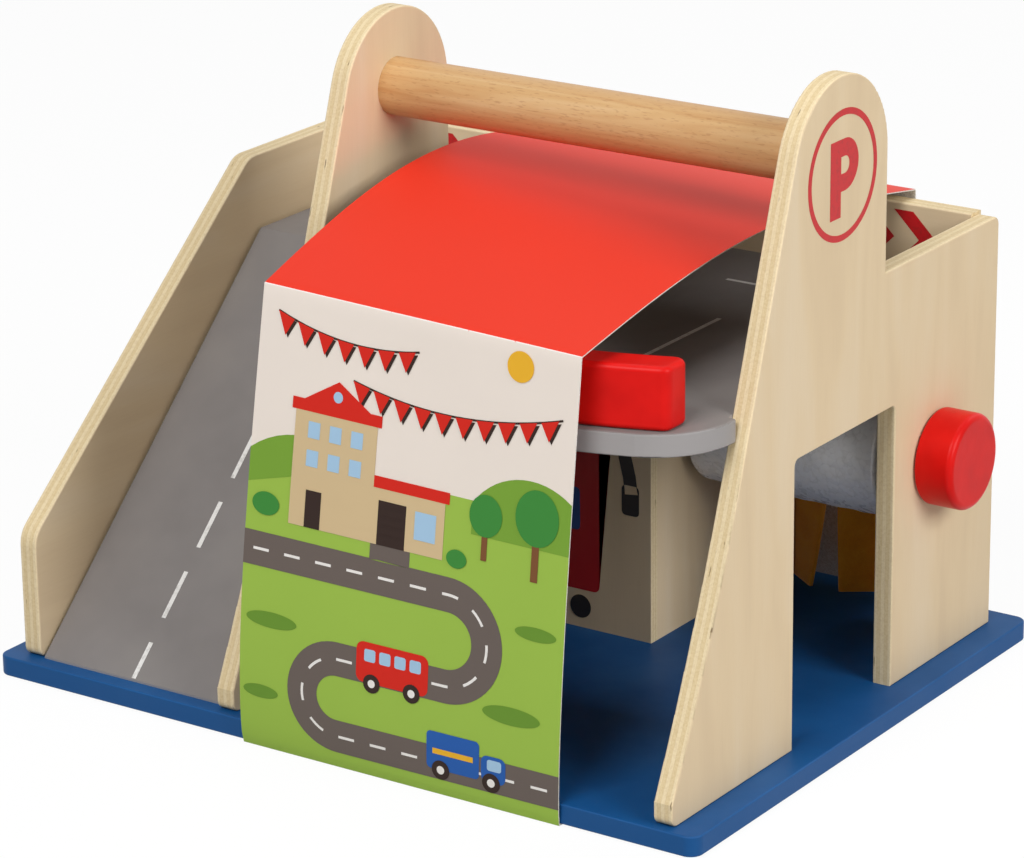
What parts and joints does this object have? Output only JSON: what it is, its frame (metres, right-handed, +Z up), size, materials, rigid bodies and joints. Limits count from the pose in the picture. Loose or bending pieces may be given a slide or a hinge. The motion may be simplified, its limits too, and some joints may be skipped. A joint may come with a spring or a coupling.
{
  "type": "wooden toy parking garage",
  "caption": "Wooden toy parking garage with ramp, deck, round carry handle, car wash with turning foam roller and felt strips, in a printed card sleeve.",
  "frame": {"origin": "on the surface that the toy stands on, in the middle of the base board's length and depth", "axes": "+X to the right along the front, +Y to the back, +Z up"},
  "size_m": [0.3681, 0.2867, 0.291],
  "materials": {
    "blue_painted_board": "satin paint",
    "bare_plywood": "sanded birch plywood, clear matt varnish",
    "beech_rod": "turned beech, clear satin varnish",
    "grey_painted_board": "satin paint",
    "red_lacquered_wood": "gloss lacquer",
    "white_foam": "closed-cell polyethylene foam",
    "yellow_felt": "pressed felt",
    "printed_card": "coated printed card"
  },
  "bodies": {
    "garage": {"base_board": "blue_painted_board", "right_panel": "bare_plywood", "left_panel": "bare_plywood", "ramp_wall": "bare_plywood", "back_wall": "bare_plywood", "carry_handle": "beech_rod", "deck_board": "grey_painted_board", "ramp_board": "grey_painted_board", "sign_block": "red_lacquered_wood", "kiosk_front": "bare_plywood", "kiosk_side": "bare_plywood", "curtain_rail": "bare_plywood", "felt_band": "yellow_felt", "base_dowels": "beech_rod", "deck_dowels": "beech_rod", "sign_dowels": "beech_rod", "sleeve_front": "printed_card", "sleeve_roof": "printed_card", "sleeve_back": "printed_card", "sleeve_underside": "printed_card"},
    "wash_roller": {"roller_shaft": "beech_rod", "foam_roller": "white_foam", "wash_knob": "red_lacquered_wood"},
    "strip_1": {"felt_strip_1": "yellow_felt"},
    "strip_2": {"felt_strip_2": "yellow_felt"},
    "strip_3": {"felt_strip_3": "yellow_felt"},
    "strip_4": {"felt_strip_4": "yellow_felt"},
    "strip_5": {"felt_strip_5": "yellow_felt"}
  },
  "joints": [
    {"name": "roller_turn", "type": "hinge", "parent": "garage", "child": "wash_roller", "pos_m": [0.10725, 0.0754, 0.1042], "axis": [1, 0, 0], "continuous": true},
    {"name": "strip_1_swing", "type": "hinge", "parent": "garage", "child": "strip_1", "pos_m": [0.06685, 0.1134, 0.1117], "axis": [1, 0, 0], "range_deg": [-20, 14]},
    {"name": "strip_2_swing", "type": "hinge", "parent": "garage", "child": "strip_2", "pos_m": [0.08705, 0.1134, 0.1117], "axis": [1, 0, 0], "range_deg": [-20, 14]},
    {"name": "strip_3_swing", "type": "hinge", "parent": "garage", "child": "strip_3", "pos_m": [0.10725, 0.1134, 0.1117], "axis": [1, 0, 0], "range_deg": [-20, 14]},
    {"name": "strip_4_swing", "type": "hinge", "parent": "garage", "child": "strip_4", "pos_m": [0.12745, 0.1134, 0.1117], "axis": [1, 0, 0], "range_deg": [-20, 14]},
    {"name": "strip_5_swing", "type": "hinge", "parent": "garage", "child": "strip_5", "pos_m": [0.14765, 0.1134, 0.1117], "axis": [1, 0, 0], "range_deg": [-20, 14]}
  ]
}
